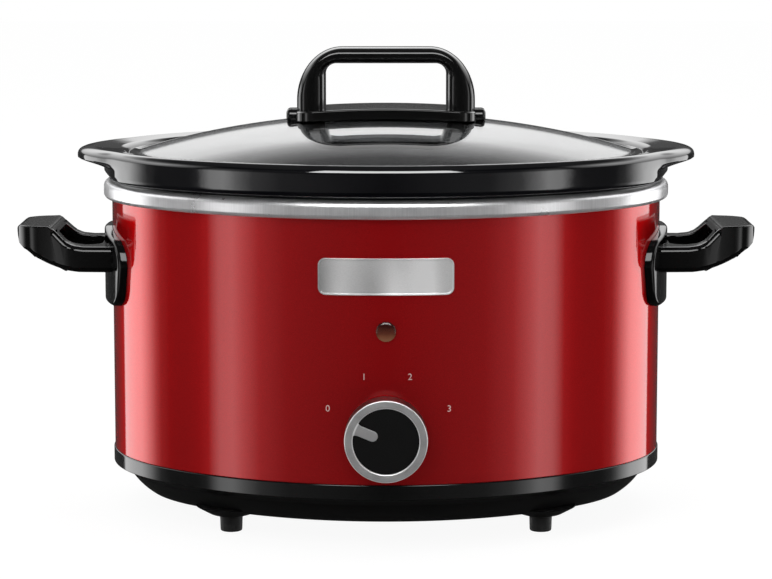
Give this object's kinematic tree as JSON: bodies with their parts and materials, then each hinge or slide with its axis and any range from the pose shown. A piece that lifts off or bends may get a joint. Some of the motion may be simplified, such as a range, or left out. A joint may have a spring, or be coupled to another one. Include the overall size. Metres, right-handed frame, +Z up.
{
  "type": "slow cooker",
  "caption": "Oval slow cooker with a metal heating base, lift-out stoneware crock, domed glass lid, side grips and a front control knob.",
  "frame": {"origin": "on the table, under the middle of the oval body, at the bottom of the feet", "axes": "+Z up, +X to the right seen from the front, so the front with the knob faces -Y and the body's length lies along X"},
  "size_m": [0.389, 0.2604, 0.2458],
  "materials": {
    "red_enamel": "gloss",
    "liner_metal": "satin",
    "black_plastic": "gloss",
    "black_rubber": "matte",
    "silicone": "matte",
    "steel": "satin",
    "brushed_metal": "satin",
    "knob_black": "satin",
    "amber_lens": "clear",
    "lamp_glass": "clear",
    "cream_plastic": "satin",
    "brass": "satin",
    "white_ceramic": "matte",
    "wire_brown": "matte",
    "wire_black": "matte",
    "wire_blue": "matte",
    "black_stoneware": "gloss",
    "clear_glass": "gloss"
  },
  "bodies": {
    "heating_base": {"outer_shell": "red_enamel", "inner_liner": "liner_metal", "base_pan": "black_plastic", "foot_front_left": "black_rubber", "foot_front_right": "black_rubber", "foot_rear_left": "black_rubber", "foot_rear_right": "black_rubber", "left_handle": "black_plastic", "right_handle": "black_plastic", "handle_screws": "steel", "badge_plate": "brushed_metal", "badge_clips": "steel", "pilot_lens": "amber_lens", "lamp_clip": "steel", "neon_lamp": "lamp_glass", "switch_body": "cream_plastic", "switch_cover": "cream_plastic", "switch_nut": "steel", "heating_band": "steel", "band_screw": "steel", "band_nut": "steel", "heater_terminals": "brass", "heat_shield": "steel", "lower_spacer": "steel", "upper_spacer": "steel", "tie_stud": "steel", "tie_washer": "steel", "tie_nut": "steel", "thermal_fuse": "white_ceramic", "fuse_clip": "steel", "terminal_block": "white_ceramic", "block_screws": "steel", "cord_gland": "black_plastic", "gland_nut": "black_plastic", "wire_live": "wire_brown", "wire_fused": "wire_brown", "wire_switched": "wire_black", "wire_neutral": "wire_blue"},
    "crock": {"stoneware_crock": "black_stoneware"},
    "lid": {"lid_glass": "clear_glass", "lid_handle": "black_plastic", "lid_screws": "steel", "lid_washers": "steel", "lid_seals": "silicone"},
    "knob": {"switch_shaft": "brass", "switch_rotor": "cream_plastic", "knob_hub": "black_plastic", "knob_ring": "brushed_metal", "knob_face": "knob_black", "knob_pointer": "brushed_metal"}
  },
  "joints": [
    {"name": "crock_lift", "type": "slide", "parent": "heating_base", "child": "crock", "axis": [0, 0, 1], "range_m": [0, 0.2]},
    {"name": "lid_lift", "type": "slide", "parent": "crock", "child": "lid", "axis": [0, 0, 1], "range_m": [0, 0.12]},
    {"name": "knob_turn", "type": "hinge", "parent": "heating_base", "child": "knob", "pos_m": [0, -0.13, 0.059], "axis": [0, 1, 0], "range_deg": [0, 135]}
  ]
}
